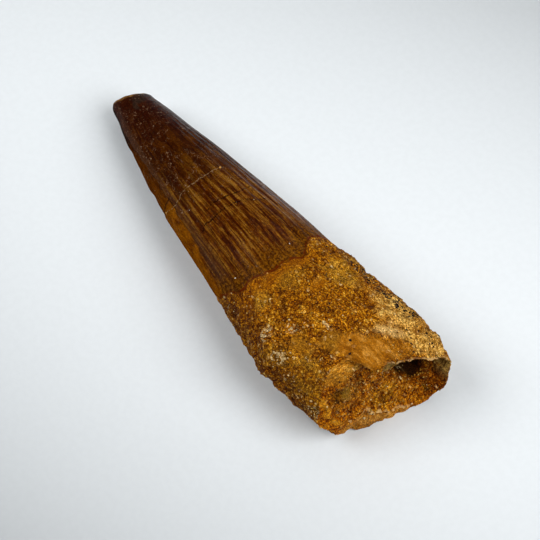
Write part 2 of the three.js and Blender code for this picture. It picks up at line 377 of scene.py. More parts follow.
def neck_edge(angle):
    a = np.radians(angle)
    return (
        NECK_MID + NECK_SIDE * np.cos(a) + NECK_TOP * np.sin(a)
        + 0.35 * np.sin(5 * a + 1) + 0.25 * np.sin(11 * a)
    )


def ragged_neck(angle):
    return neck_edge(angle) + curve(NECK_TRIM, angle) + 0.3 * ring_noise(angle, 9, 5)


def rim_edge(angle):
    chips = 0.18 * ring_noise(angle, 9, 2) + 0.12 * ring_noise(angle, 24, 7)
    return curve(RIM, angle) + chips


def solid_root_relief(x, angle, plain):
    relief = CRUST + 0.5 * lumps(plain, 6) + 0.5 * lumps(plain, 1.9)
    return relief + swells(x, angle, KNOBS)


def shift():
    """From the shape's own millimetres to the frame: both boxes share a middle."""
    angle = np.arange(0, 360, SOLID_STEP)[None, :]
    share = np.linspace(0, 1, SOLID_ROWS)[:, None]
    neck = neck_edge(angle) + 0.3
    x = neck + share * (curve(RIM, angle) - neck)
    root = outside(x, angle, solid_root_relief(x, angle, oval(x, angle, 1)))
    low, high = root.min((0, 1)), root.max((0, 1))
    low[0] = tip_edge(angle).min()
    return -(low + high) / 2 * (1, 1, 0)


SHIFT = shift()


# ---- Crown ----

def fibre(x, angle):
    """A place on the crown as its fibres see it: they all run to the tip."""
    a = np.radians(angle)
    return stacked(x, 8 * np.cos(a), 8 * np.sin(a))


def streaks(f, along, around, seed=0):
    return noise(f[..., 0] / along + seed, f[..., 1] / around, f[..., 2] / around)


def crown_relief(x, f, plain, wave):
    """Grooves, fibres, low lumps and the cutting edges."""
    fade = smooth(FLUTE_START, FLUTE_FULL, x)
    strength = np.clip(0.75 + 0.9 * streaks(f, 11, 1.2, 3), 0, 2)
    relief = FLUTE_SWING * fade * strength * (wave - 1) * (1 - 0.6 * smooth(*FLUTE_FADE, x))
    relief = relief + fade * (0.055 * streaks(f, 9, 0.6) + 0.045 * streaks(f, 6, 0.3, 7))
    relief = relief + 0.05 * lumps(plain, 4.5) + 0.02 * lumps(plain, 0.9)
    relief = relief + swells(x, ANGLE, CROWN_TRIM)
    for side, height, start, full in EDGES:
        relief = relief + height * smooth(start, full, x) * bell(turn(ANGLE, side) / EDGE_WIDTH)
    notch = np.hypot(x - NOTCH["at"], np.radians(turn(ANGLE, NOTCH["side"])) * NOTCH["radius"])
    return relief - NOTCH["depth"] * bell(notch / NOTCH["reach"])


def bare_strip(x):
    """The bare strip under the cutting edge and the flaked patch in it, from 0 to 1."""
    border = curve(STRIP, x) + 1.2 * noise(x / 1.7, 3, 1) + 1.2 * noise(x / 0.7, 8, 1)
    strip = smooth(-1.4, 1.4, ANGLE - border) * smooth(*STRIP_LOW, ANGLE)
    flake = window(x, *FLAKE["along"]) * smooth(-1.2, 1.2, ANGLE - border)
    return strip, flake * smooth(*FLAKE["underside"], ANGLE)


def crack_places(x):
    """How far each place lies from each crack, and how far the crack reaches around."""
    distances, reaches = [], []
    for line in CRACKS:
        (first, start), last = line[0], line[-1][0]
        way = curve(line, np.clip(ANGLE, first, last))
        way = way + 0.16 * noise(np.radians(ANGLE) * 8, 4, start)
        way = way + 0.07 * noise(np.radians(ANGLE) * 24, 2, 1)
        distances.append(x - way)
        reaches.append(window(ANGLE + 0 * x, first - 3, first + 3, last - 3, last + 3))
    return np.stack(distances, -1), np.stack(reaches, -1)


def tip_cap(tip):
    """The worn end of the tip, from its middle to its edge."""
    share = np.linspace(0.03, 1, CAP_ROWS)[:-1, None]
    bulge = (swells(tip, ANGLE, CROWN_TRIM) - TIP_ROUNDING) / radius(tip)
    cap = oval(tip, ANGLE, share * (1 + bulge))
    cap[..., 0] = tip + (1 - share**2) * (TIP_DISH + TIP_SLANT - tip) * 0.7
    cap[..., 0] = cap[..., 0] + 0.22 * (1 - share) * lumps(cap, 1.1)
    return cap


def crown_surface():
    tip, neck = tip_edge(ANGLE) + 0.16 * ring_noise(ANGLE, 3, 4), ragged_neck(ANGLE)
    share = np.linspace(0, 1, CROWN_ROWS)[:, None] ** 1.05
    x = tip + share * (neck - tip)
    f, plain = fibre(x, ANGLE), oval(x, ANGLE, 1)
    wave = np.cos(np.radians(FLUTES * ANGLE + 70 * streaks(f, 14, 1.6)))
    strip, flake = bare_strip(x)
    rounding = smooth(TIP_REACH, 0, x - tip)
    relief = crown_relief(x, f, plain, wave) - TIP_ROUNDING * rounding**3
    relief = relief - flake * (FLAKE["depth"] + 0.04 * lumps(plain, 1.2, 5))
    distances, reaches = crack_places(x)
    data = dict(
        fibre=f, crest=0.5 + 0.5 * wave, flake=flake, strip=strip, along=x,
        around=ANGLE + 0 * x, edge=x - neck, cracks=distances,
        reach=reaches, worn=rounding, smear=smooth(0.3, 0.8, zones(x, SMEARS, plain)),
    )
    # The cap looks like the edge of the tip, and the enamel goes on under the crust.
    cap, under = tip_cap(tip), outside(neck + UNDER_CRUST, ANGLE, -0.45)
    for name, value in data.items():
        data[name] = np.concatenate([np.repeat(value[:1], len(cap), 0), value, value[-1:]])
    data["worn"][: len(cap)] = 1
    data["edge"][-1] = UNDER_CRUST
    data["place"] = np.concatenate([cap, outside(x, ANGLE, relief), under])
    return data


# ---- Root ----

def grit(p, rough):
    """Fine relief of the crust, with its pits."""
    fine = 0.12 * lumps(p, 0.95, 11) + 0.09 * lumps(p, 0.5, 23) + 0.06 * lumps(p, 0.28, 31)
    pits = smooth(0.35, 0.8, lumps(p, 0.9, 47)) + 0.8 * smooth(0.35, 0.8, lumps(p, 0.5, 59))
    return rough * (fine - 0.13 * pits)


def roughness(x, plain):
    """How rough the crust is: least on the pad and on the smooth zones."""
    rough = 1 - 0.85 * smooth(0.25, 0.6, zones(x, PAD))
    rough = rough - 0.75 * smooth(0.3, 0.9, zones(x, SMOOTH, plain))
    return np.maximum(rough, 0.15) * (1 - 0.2 * smooth(0.3, 0.7, zones(x, TAN)))


def root_surface():
    neck, rim = ragged_neck(ANGLE), rim_edge(ANGLE)
    x = neck + np.linspace(0, 1, ROOT_ROWS)[:, None] * (rim - neck)
    plain = oval(x, ANGLE, 1)
    rough = roughness(x, plain)
    fine = grit(plain, rough)
    relief = solid_root_relief(x, ANGLE, plain) + swells(x, ANGLE, ROOT_TRIM) - 0.05 + fine
    for at, side, size in PORES:
        relief = relief - 0.25 * bell((away(x, ANGLE, at, side) / (size * 1.5)) ** 2)
    side = (ANGLE + 180) % 360 - 180
    for depth, reach, *angles in WEAR:
        relief = relief - depth * smooth(reach, 0, rim - x) * window(side, *angles)
    # The crust thins out at its edge on the enamel.
    edge = x - neck
    relief = relief * (0.15 + 0.85 * smooth(0, CRUST_THINNING, edge)) - 0.5 * smooth(0.12, 0, edge)
    tints = np.stack([
        smooth(0.2, 0.65, zones(x, PEACH) + 0.12 * lumps(plain, 0.8, 3)),
        smooth(0.15, 0.8, zones(x, TAN, plain)),
        smooth(0.15, 1.0, zones(x, KHAKI, plain))], -1)
    return dict(
        place=outside(x, ANGLE, relief), pit=fine / 0.3, edge=edge, rough=rough, tints=tints,
        pale=smooth(0.4, 0.9, zones(x, PALE, plain)),
        golden=smooth(0.3, 0.9, zones(x, GOLDEN, plain)),
        rim=smooth(0.8, 0.1, rim - x),
        around=ANGLE + 0 * x, along=x,
    )


# ---- Broken end ----

def hollow_in(y, z):
    """How far each place lies in the hollow, from 0 to 1. It stays inside the wall."""
    across = (y + z - HOLLOW["start"]) / 2**0.5 + 0.4 * noise(y / 1.6, z / 1.6, 33)
    hollow = smooth(0, HOLLOW["slope"], across) * smooth(HOLLOW["left"], HOLLOW["right"], y)
    half, tall, bow, under = (
        curve(STATIONS, HOLLOW["bottom"], column) for column in (HALF, TALL, BOW, UNDER))
    out = np.hypot((y - bow) / half, (z - under - tall / 2) / (tall / 2))
    return hollow * smooth(0.99, 0.99 - HOLLOW["wall"], out)


def fill_height(y, z, hollow):
    fill = FILL_LOW - FILL_BACK * z + FILL_GRIT * noise(y / 1.7, z / 1.7, 9)
    off = np.hypot(y - POCKET["y"], z - POCKET["z"]) / POCKET["radius"]
    return fill - HOLLOW["depth"] * hollow - POCKET["depth"] * smooth(1, 0.2, off)


def fill_grit(place):
    """Coarse sand with sunken gaps, darkened in the colour with painted shade."""
    return (
        0.26 * lumps(place, 0.95, 13) + 0.2 * lumps(place, 0.5, 29)
        - 0.35 * smooth(0.25, 0.8, lumps(place, 1.25, 41))
        - 0.25 * smooth(0.25, 0.8, lumps(place, 0.62, 53))
    )


def ellipse(a, b, middle_a, middle_b, reach_a, reach_b):
    return bell(np.hypot((a - middle_a) / reach_a, (b - middle_b) / reach_b))


def past_zero(start, full, fade, end):
    """A window of angles that runs on past 360 degrees."""
    return np.maximum(smooth(start, full, ANGLE), smooth(end, fade, ANGLE))


def end_surface(rim):
    """From the rim inwards. Each place has a share of the rim's distance from the middle."""
    share = (1 - np.linspace(0, 1, END_ROWS) ** 1.25 * 0.985)[:, None]
    y = MIDDLE["y"] + share * (rim[..., 1] - MIDDLE["y"])
    z = MIDDLE["z"] + share * (rim[..., 2] - MIDDLE["z"])
    hollow = hollow_in(y, z)
    fill = fill_height(y, z, hollow)
    wall_edge = curve(WALL_EDGE, ANGLE) + 0.025 * ring_noise(ANGLE, 14, 3)
    face = curve(WALL_FACE, ANGLE)
    wall = smooth(face, np.minimum(wall_edge - 0.03, face - 0.05), share)
    beside = window(ANGLE, *TONGUE_FACE)
    front = rim[..., 0] - FACE_DROP * beside * smooth(1, face, share)
    x = front + wall * (fill - front)
    # The wall's broken face is smoother than the sand, and its crest is ragged.
    inside = smooth(wall_edge + 0.02, wall_edge - 0.05, share)
    fine, rough = fill_grit(stacked(x, y, z)), 0.35 + 0.65 * inside
    x = x + fine * rough * smooth(1, 0.965, share)
    crest = bell((share - wall_edge) / (0.024 + 0.012 * noise(y / 2, z / 2, 4)))
    ragged = 0.6 + 0.5 * noise(y / 1.3, z / 1.3, 21) + 0.4 * noise(y / 0.45, z / 0.45, 15)
    x = x + 0.45 * crest * window(ANGLE, *LEFT_WALL) * np.clip(ragged + 0.2, 0, 1.3)
    points = stacked(x, y, z)
    points[..., 2] = np.maximum(points[..., 2], 0)
    points[0] = rim
    # The lit crest of the wall, low down and along the thin wall, and its parts.
    thin_crest = smooth(0.972, 0.988, share) * past_zero(*THIN_CREST)
    crest = crest * window(ANGLE, *LOWER_CREST) + thin_crest
    warm = np.clip(ragged + 0.2, 0, 1) * bell((share - wall_edge - 0.02) / 0.05)
    leaning = window(ANGLE, *LEANING_WALL) * smooth(wall_edge - 0.04, wall_edge + 0.02, share)
    band = beside * smooth(1, 0.97, share) * smooth(face - 0.05, face, share)
    return dict(
        place=points, pit=fine * rough / 0.55, inside=inside,
        crest=np.clip(ragged, 0, 1) * crest, warm=warm * window(ANGLE, *WARM_WALL),
        lower=smooth(0.02, 0.08, share - wall_edge) * window(ANGLE, *LOWER_WALL),
        golden=ellipse(y, z, *FILL_GOLDEN), olive=ellipse(y, z, *FILL_OLIVE),
        inner=window(share, *RIBS) * past_zero(*THIN_WALL),
        # Painted shade in the hollow, from its depth.
        deep=smooth(0.3, 3.0, hollow * HOLLOW["depth"]) * smooth(0.99, 0.95, share),
        # Painted shade on the sand in front of the hollow.
        dim=bell((y + z - DIM["middle"]) / DIM["reach"]) * smooth(*DIM["start"], y) * (1 - band),
        bevel=leaning, band=band, rays_and_highlight=ellipse(share, ANGLE, *RAYS),
    )


# ---- Meshes ----

def set_attribute(mesh, name, values):
    values = np.asarray(values, np.float32)
    kind, key = ("FLOAT_VECTOR", "vector") if values.ndim == 2 else ("FLOAT", "value")
    mesh.attributes.new(name, kind, "POINT").data.foreach_set(key, values.ravel())


def set_map(mesh, uv):
    layer = mesh.uv_layers.new(name="OFBake")
    layer.data.foreach_set("uv", uv.astype(np.float32).ravel())


def make_mesh(name, vertices, corners, sizes):
    mesh = bpy.data.meshes.new(name)
    mesh.vertices.add(len(vertices))
    mesh.vertices.foreach_set("co", ((vertices + SHIFT) * MM).astype(np.float32).ravel())
    mesh.loops.add(len(corners))
    mesh.loops.foreach_set("vertex_index", corners.astype(np.int32))
    mesh.polygons.add(len(sizes))
    starts = np.concatenate([[0], np.cumsum(sizes)[:-1]])
    mesh.polygons.foreach_set("loop_start", starts.astype(np.int32))
    mesh.polygons.foreach_set("loop_total", sizes.astype(np.int32))
    mesh.polygons.foreach_set("use_smooth", np.ones(len(sizes), bool))
    mesh.update(calc_edges=True)
    mesh.validate()
    return mesh


def new_object(name, data):
    added = bpy.data.objects.new(name, data)
    bpy.context.scene.collection.objects.link(added)
    return added


def new_piece(name, mesh, material):
    piece = new_object(name, mesh)
    mesh.materials.append(material)
    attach(piece, "root")
    return piece


def pairs(*points):
    """Rows of u and v for the corners of each face."""
    return np.stack([stacked(u, v) for u, v in points], -2).reshape(-1, 2)


def skin(name, data, material, close_first=False, close_last=False):
    """A tube of quads through rings of places, closed on a middle point where asked."""
    rows, count = data["place"].shape[:2]
    values = {key: value.reshape((rows * count,) + value.shape[2:]) for key, value in data.items()}
    row, col = np.meshgrid(np.arange(rows - 1), np.arange(count), indexing="ij")
    here, beyond, following = row * count, (row + 1) * count, (col + 1) % count
    quads = np.stack([here + col, here + following, beyond + following, beyond + col], -1)
    # The map unrolls the tube, with each row as tall as it is on average.
    step = np.linalg.norm(np.diff(data["place"], axis=0), axis=2).mean(1)
    v = np.concatenate([[0], np.cumsum(step)]) + 0.5 * close_first
    v = v / (v[-1] + 0.5 * close_last)
    left, right = col / count, (col + 1) / count
    faces, sizes = [quads.ravel()], [np.full(quads.size // 4, 4)]
    uv = [pairs((left, v[row]), (right, v[row]), (right, v[row + 1]), (left, v[row + 1]))]
    i = np.arange(count)
    for wanted, base, level, first, second in (
        (close_first, 0, 0.0, i + 1, i), (close_last, (rows - 1) * count, 1.0, i, i + 1)
    ):
        if not wanted:
            continue
        middle = np.full(count, len(values["place"]))
        for key, value in values.items():
            values[key] = np.concatenate([value, value[base:base + count].mean(0)[None]])
        faces.append(np.stack([middle, base + first % count, base + second % count], -1).ravel())
        edge = v[0] if level == 0 else v[-1]
        uv.append(pairs(((i + 0.5) / count, level), (first / count, edge), (second / count, edge)))
        sizes.append(np.full(count, 3))
    mesh = make_mesh(name, values["place"], np.concatenate(faces), np.concatenate(sizes))
    set_map(mesh, np.concatenate(uv))
    for key, value in values.items():
        set_attribute(mesh, key, value)
    piece = new_piece(name, mesh, material)
    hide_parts("tooth")


# ---- Sand ----

def ball():
    """The corners and faces of an icosahedron."""
    g = (1 + 5**0.5) / 2
    rectangle = np.array([(a, b * g, 0) for b in (1, -1) for a in (-1, 1)])
    corners = np.concatenate([np.roll(rectangle, k, axis=1) for k in range(3)])
    faces = np.array([
        (0, 11, 5), (0, 5, 1), (0, 1, 7), (0, 7, 10), (0, 10, 11), (1, 5, 9), (5, 11, 4),
        (11, 10, 2), (10, 7, 6), (7, 1, 8), (3, 9, 4), (3, 4, 2), (3, 2, 6), (3, 6, 8),
        (3, 8, 9), (4, 9, 5), (2, 4, 11), (6, 2, 10), (8, 6, 7), (9, 8, 1)])
    return corners / np.linalg.norm(corners[0]), faces


def add_sand(name, seats, material):
    """Grains in one mesh. Each seat is a place, a radius and a tint."""
    random = np.random.default_rng(11)
    corners, faces = ball()
    count = len(seats)
    place, size, tint = (np.array(values) for values in zip(*seats))
    shape = corners[None] * (1 + 0.3 * random.uniform(-1, 1, (count, len(corners), 1)))
    shape = shape * random.uniform(0.7, 1.25, (count, 1, 3)) * size[:, None, None]
    vertices = (place[:, None] + shape).reshape(-1, 3)
    vertices[:, 2] = np.maximum(vertices[:, 2], 0)
    index = (np.arange(count)[:, None, None] * len(corners) + faces[None]).reshape(-1)
    mesh = make_mesh(name, vertices, index, np.full(count * len(faces), 3))
    # Each grain has one square of the map, and each of its faces a piece of it.
    side = math.ceil(math.sqrt(count))
    cell = stacked(np.arange(count) % side, np.arange(count) // side)
    lows = [np.array([k % 5 / 5, k // 5 / 4]) for k in range(len(faces))]
    spots = np.array([[low + (0.01, 0.01), low + (0.19, 0.01), low + (0.01, 0.23)] for low in lows])
    set_map(mesh, (cell[:, None, None] + spots[None] * 0.94 + 0.03) / side)
    set_attribute(mesh, "tint", np.repeat(tint, len(corners), 0))
    new_piece(name, mesh, material)


def seats_on(points, weight, count, random, sizes):
    """Random seats on a grid of points, the likelier the greater the weight."""
    area = np.linalg.norm(np.cross(
        np.diff(points, axis=0)[:, :-1], np.diff(points, axis=1)[:-1]), axis=-1)
    chance = (area * weight[:-1, :-1]).ravel()
    chosen = random.choice(chance.size, count, p=chance / chance.sum())
    row, col = np.unravel_index(chosen, area.shape)
    a, b, c = points[row, col], points[row, col + 1], points[row + 1, col]
    spot = a + (b - a) * random.random((count, 1)) + (c - a) * random.random((count, 1))
    tints, shares = (np.array(values) for values in zip(*SAND))
    kind = random.choice(len(SAND), count, p=shares / shares.sum())
    size = random.uniform(*sizes, count) * (0.75 + 0.5 * random.random(count))
    outward = np.cross(b - a, c - a)
    outward = outward / np.maximum(np.linalg.norm(outward, axis=1, keepdims=True), 1e-9)
    tint = tints[kind] * random.uniform(0.8, 1.2, (count, 1))
    return list(zip(spot - 0.4 * size[:, None] * outward, size, tint))


def point_at(surface, at, side, sunk=0):
    """The point of a surface at a distance and an angle, or a little under it."""
    col = round(side / 360 * AROUND) % AROUND
    row = np.abs(surface["along"][:, col] - at).argmin()
    a = math.radians(side)
    return surface["place"][row, col] - sunk * np.array((0, math.cos(a), math.sin(a)))


def all_seats(crown, root, end):
    """The grains of the crust and the fill, the quartz, the flecks and the large pores."""
    random = np.random.default_rng(5)
    weight = root["rough"] ** 2 * smooth(0.2, 1.5, root["edge"]) + 0.02
    seats = seats_on(root["place"], weight, CRUST_GRAINS, random, (0.07, 0.19))
    weight = (0.25 + 0.75 * end["inside"]) * (1 - end["deep"]) * (1 - 0.6 * end["band"])
    seats += seats_on(end["place"], weight, FILL_GRAINS, random, (0.08, 0.22))
    for at, side, along, around in PALE:
        for _ in range(round(1 + 3 * along * around)):
            forth, aside = random.normal(0, 0.5, 2)
            turned = math.degrees(around * aside / radius(at))
            place = point_at(root, at + along * forth, side + turned)
            size = random.uniform(0.08, 0.2)
            seats.append((place, size, np.array(QUARTZ) * random.uniform(0.4, 1.15)))
    for at, side, size, tint in FLECKS:
        surface = crown if at < neck_edge(side) else root
        seats.append((point_at(surface, at, side, 0.55 * size), size, tint))
    for at, side, size in PORES:
        seats.append((point_at(root, at, side, 0.3 * size), size * 1.15, BLACK))
    return seats


# ---- Materials ----

def operation(name, turned=False):
    """A method that joins a value to another one in a math node."""
    def method(self, *other):
        return self.nodes.math(name, *((*other, self) if turned else (self, *other)))
    return method


class Value:
    """What a socket gives, with its sums and products. & gives the lesser and | the greater."""

    def __init__(self, nodes, socket):
        self.nodes, self.socket = nodes, socket

    __add__, __radd__ = operation("ADD"), operation("ADD", turned=True)
    __sub__, __rsub__ = operation("SUBTRACT"), operation("SUBTRACT", turned=True)
    __mul__, __abs__ = operation("MULTIPLY"), operation("ABSOLUTE")
    __lt__, __gt__ = operation("LESS_THAN"), operation("GREATER_THAN")
    __and__, __or__ = operation("MINIMUM"), operation("MAXIMUM")


def weighed(level, parts):
    for value, weight in parts:
        level = level + value * weight
    return level


class Nodes:
    """Short names for the nodes of one material or of the world."""

    def __init__(self, owner):
        owner.use_nodes = True
        self.owner, self.tree = owner, owner.node_tree

    def feed(self, socket, value):
        if isinstance(value, Value):
            self.tree.links.new(value.socket, socket)
        else:
            socket.default_value = (*value, 1) if socket.type == "RGBA" else value

    def add(self, kind, inputs=(), output=0, **settings):
        """What a new node gives, with its settings made and its inputs fed."""
        node = self.tree.nodes.new("ShaderNode" + kind)
        for key, value in settings.items():
            setattr(node, key, value)
        for key, value in dict(inputs).items():
            self.feed(node.inputs[key], value)
        return Value(self, node.outputs[output])

    def __getitem__(self, name):
        return self.add("Attribute", output="Fac", attribute_name=name)

    def vector(self, name):
        return self.add("Attribute", output="Vector", attribute_name=name)

    def math(self, operation, *values):
        return self.add("Math", dict(enumerate(values)), operation=operation)

    def vectors(self, operation, a, b, output=0):
        return self.add("VectorMath", {0: a, 1: b}, output, operation=operation)

    def scaled(self, vector, scale):
        return self.vectors("MULTIPLY", vector, scale)

    def split(self, vector):
        node = self.add("SeparateXYZ", {0: vector}).socket.node
        return [Value(self, socket) for socket in node.outputs]

    def joined(self, *values):
        return self.add("CombineXYZ", dict(enumerate(values)))

    def noise(self, vector, scale, detail=2, rough=0.5, warp=0, output="Fac"):
        """Noise, stretched where the scale has three numbers."""
        if isinstance(scale, tuple):
            vector, scale = self.scaled(vector, scale), 1
        return self.add("TexNoise", {
            "Vector": vector, "Scale": scale, "Detail": detail, "Roughness": rough,
            "Distortion": warp}, output)

    def cells(self, vector, scale, feature="F1"):
        """How far each place lies from the middle or the edge of its cell."""
        inputs = {"Vector": vector, "Scale": scale}
        return self.add("TexVoronoi", inputs, "Distance", feature=feature)

    def chances(self, distance):
        """Three random numbers for each cell."""
        return self.split(Value(self, distance.socket.node.outputs["Color"]))

    def step(self, value, low, high, out_low=0, out_high=1):
        return self.add("MapRange", {
            "Value": value, "From Min": low, "From Max": high, "To Min": out_low,
            "To Max": out_high}, interpolation_type="SMOOTHSTEP")

    def near(self, value, middle, reach, full, out_low=0, out_high=1):
        """How near a value is to a middle, from nothing at its reach to all of it."""
        return self.step(abs(value - middle), reach, full, out_low, out_high)

    def ramp(self, value, *stops):
        ramp = self.add("ValToRGB", {0: value})
        elements = ramp.socket.node.color_ramp.elements
        while len(elements) < len(stops):
            elements.new(0.5)
        for element, (at, colour) in zip(elements, stops):
            element.position, element.color = at, (*colour, 1)
        return ramp

    def mix(self, share, a, b, blend="MIX"):
        inputs = {"Factor": share, 6: a, 7: b}
        return self.add("Mix", inputs, 2, data_type="RGBA", blend_type=blend)

    def times(self, colour, tint):
        return self.mix(1, colour, tint, "MULTIPLY")

    def finish(self, colour, roughness, specular, coat=0, coat_roughness=0.1, relief=None):
        """The material. A relief is its height and its depth in metres."""
        inputs = self.tree.nodes["Principled BSDF"].inputs
        if relief:
            self.feed(inputs["Normal"], self.add("Bump", {
                "Height": relief[0], "Distance": relief[1]}))
        for name, value in (
            ("Base Color", colour), ("Roughness", roughness), ("Specular IOR Level", specular),
            ("Coat Weight", coat), ("Coat Roughness", coat_roughness),
        ):
            self.feed(inputs[name], value)
        return self.owner


def new_material(name):
    return Nodes(bpy.data.materials.new(name))


# ---- Enamel ----

def enamel_streaks(n):
    """The worn tip is dark and red, and the streaks come in along the crown."""
    level = weighed(n["crest"] * 0.1, [
        (n.broad, 0.45), (n.mid, 0.6), (n.narrow, 0.7), (n.hair, 0.4),
        (n.noise(n.place, 1.1, 3, 0.6), 0.3)])
    streak = n.ramp(
        (level - 0.15) * 0.45, (0.44, (0.038, 0.006, 0.0001)), (0.485, (0.073, 0.016, 0.0006)),
        (0.522, (0.115, 0.033, 0.0012)), (0.545, (0.16, 0.056, 0.003)),
        (0.585, (0.22, 0.09, 0.009)))
    bare = n.ramp(
        n.noise(n.place, 0.5, 4, 0.6), (0.3, (0.016, 0.002, 0.0006)),
        (0.55, (0.031, 0.0052, 0.0012)), (0.75, (0.062, 0.0175, 0.0042)))
    plain = n.ramp(
        n.noise(n.fibre, (0.24, 0.7, 0.7), 6, 0.7, 1.2), (0.36, (0.017, 0.002, 0.0001)),
        (0.5, (0.035, 0.0068, 0.0004)), (0.64, (0.072, 0.019, 0.0011)))
    colour = n.mix(n.step(n.come, *TIP_TO_PLAIN), bare, plain)
    colour = n.mix(n.step(n.come, *PLAIN_TO_STREAKS), colour, streak)
    return n.mix(n["smear"] * 0.6, colour, (0.026, 0.018, 0.012))


def threads(n, colour):
    """Fine pale and dark threads between the broad streaks."""
    thread = n.noise(n.fibre, (0.13, 2.6, 2.6), 1, 0.4, 0.3)
    pale = n.near(thread, 0.5, 0.035, 0.005) * n.step(n.mid, 0.42, 0.6)
    pale = pale * n.step(n.come, 20, 34, 0.08, 0.65)
    colour = n.mix(pale, colour, (0.24, 0.105, 0.013))
    thread = n.noise(n.fibre, (0.11, 2.2, 2.2), 1, 0.4, 0.3)
    dark = n.near(thread, 0.47, 0.03, 0.005) * n.step(n.broad, 0.38, 0.6)
    dark = dark * n.step(n.along, 10, 26, 0.1, 0.8)
    return n.mix(dark, colour, (0.024, 0.0035, 0.0001))


def dull_parts(n, colour):
    """A duller band beside the cutting edge that is partly painted sheen, and a dull neck."""
    # Painted sheen, partly: the band beside the cutting edge is greyed.
    dull = n.near(n.around, *PAINTED_SHEEN_BAND, 0, 0.55) * n.step(n.along, 2, 14, 0.3, 1)
    colour = n.mix(dull, colour, (0.068, 0.024, 0.0068))
    neck = n.step(n.edge + (n.narrow - 0.5) * 8, -5, -1, 0, 0.8)
    return n.mix(neck, colour, n.ramp(
        n.mottle, (0.41, (0.045, 0.011, 0.0003)), (0.59, (0.155, 0.053, 0.0016))))


def bare_parts(n, colour):
    """The orange brown strip with a painted shadow line above it where the enamel steps down, and
    the flaked patch with a painted shadow line at its edge.
    """
    darker = n.ramp(n.patchy, (0.35, (0.022, 0.0038, 0.0001)), (0.65, (0.088, 0.022, 0.0005)))
    warmer = n.ramp(n.patchy, (0.35, (0.075, 0.015, 0.0002)), (0.65, (0.26, 0.082, 0.0017)))
    colour = n.mix(n.strip, colour, n.mix(n.step(n.along, *STRIP_WARMER), darker, warmer))
    # Painted shadow of the step above the strip.
    line = n.step(n.strip * (1 - n.strip), 0.03, 0.2) * n.step(n.along, *STRIP_SHADOW_LINE, 0, 0.85)
    colour = n.mix(line, colour, (0.012, 0.0035, 0.001))
    colour = n.mix(n.flake * 0.6, colour, n.ramp(
        n.patchy, (0.38, (0.034, 0.006, 0.0001)), (0.62, (0.12, 0.03, 0.0005))))
    # Painted shadow at the edge of the flaked patch, where it steps down.
    line = n.step(n.flake, 0.02, 0.2) * n.step(n.flake, 0.75, 0.4)
    return n.mix(line * 0.8, colour, (0.012, 0.004, 0.002))


def dust(n, colour):
    """Fine light and dark over all of it."""
    shade = n.step(n.mottle, 0.36, 0.64, 0.76, 1.24)
    shade = shade * n.step(n.noise(n.place, 5.5, 2, 0.6), 0.36, 0.64, 0.72, 1.28)
    return n.times(colour, n.joined(shade, shade, shade))


def scuffs(n, colour):
    """Pale scuffs, curled scratches and specks, mostly on the upper crown."""
    patch = n.step(n.noise(n.place, 0.42, 3, 0.6), 0.4, 0.56)
    patch = patch * n.step(n.along, *FEWER_SCUFFS, 0.25, 1)
    patch = patch | n.near(n.around, *SCUFFED_BAND) * n.near(n.along, *SCUFFED_STRETCH)
    curl = n.near(n.noise(n.place, (0.8, 1.2, 1.2), 1, 0.5, 1.8), 0.5, 0.024, 0.008)
    curl = curl * n.step(n.noise(n.place, 1.7), 0.5, 0.6)
    scuff = n.noise(n.scaled(n.place, (1, 2, 2)), 1.9, 4, 0.7, 1.4)
    scuff = (curl | n.step(scuff, 0.64, 0.7)) * (patch * 0.7)
    colour = n.mix(scuff, colour, (0.24, 0.14, 0.08))
    wavy = n.scaled(n.noise(n.place, 2.2, output="Color"), (0.9, 0.9, 0.9))
    distance = n.cells(n.vectors("ADD", n.scaled(n.place, (0.9, 1.3, 1.3)), wavy), 1)
    chance, size, _ = n.chances(distance)
    spot = (distance < size * size * 0.2) * (chance > 0.65) * n.step(patch, 0, 0.5, 0.12, 0.6)
    return n.mix(spot, colour, (0.25, 0.15, 0.085))


def cracks(n, colour):
    """The hairline cracks, and where they are open."""
    gaps = None
    places = zip(n.split(n.vector("cracks")), n.split(n.vector("reach")), CRACK_LOOKS)
    for distance, reach, (tint, width) in places:
        ragged = n.step(n.noise(n.place, 2.1, 3, 0.7), 0.42, 0.58, 0.1, 1.25)
        crack = abs(distance) < ragged * width * reach
        colour = n.mix(crack * 0.85, colour, tint)
        gaps = gaps | crack if gaps else crack
    return colour, gaps


def crown_ends(n, colour):
    """The worn rim of the tip, and the red line where the crust begins."""
    worn = n["worn"] + n.noise(n.place, 1.5, 3) * 0.7 + n.near(n.around, *PALE_RIM, 0, 0.35)
    colour = n.mix(n.step(worn, 0.95, 1.3, 0, 0.9), colour, n.ramp(
        n.noise(n.place, 2.2, 3), (0.4, (0.13, 0.05, 0.01)), (0.6, (0.33, 0.16, 0.04))))
    line = n.step(n.edge, -0.4, -0.12, 0, 0.85) * n.step(n.patchy, 0.4, 0.55, 0.3, 1)
    return n.mix(line, colour, (0.1, 0.012, 0.0005))


def gloss(n):
    """Brightest high on the flank, and dull on the strip and at the neck."""
    flank = n.step(n.around, *UPPER_GLOSS, 2, 0.25) | n.step(n.around, *LOWER_GLOSS, 0, 0.45)
    cloud = n.step(n.noise(n.place, 1.2, 4, 0.6), 0.3, 0.7, 0.3, 0.12)
    return (1 - n.strip) * cloud * flank * n.step(n.edge, -7, -1, 1, 0.45)


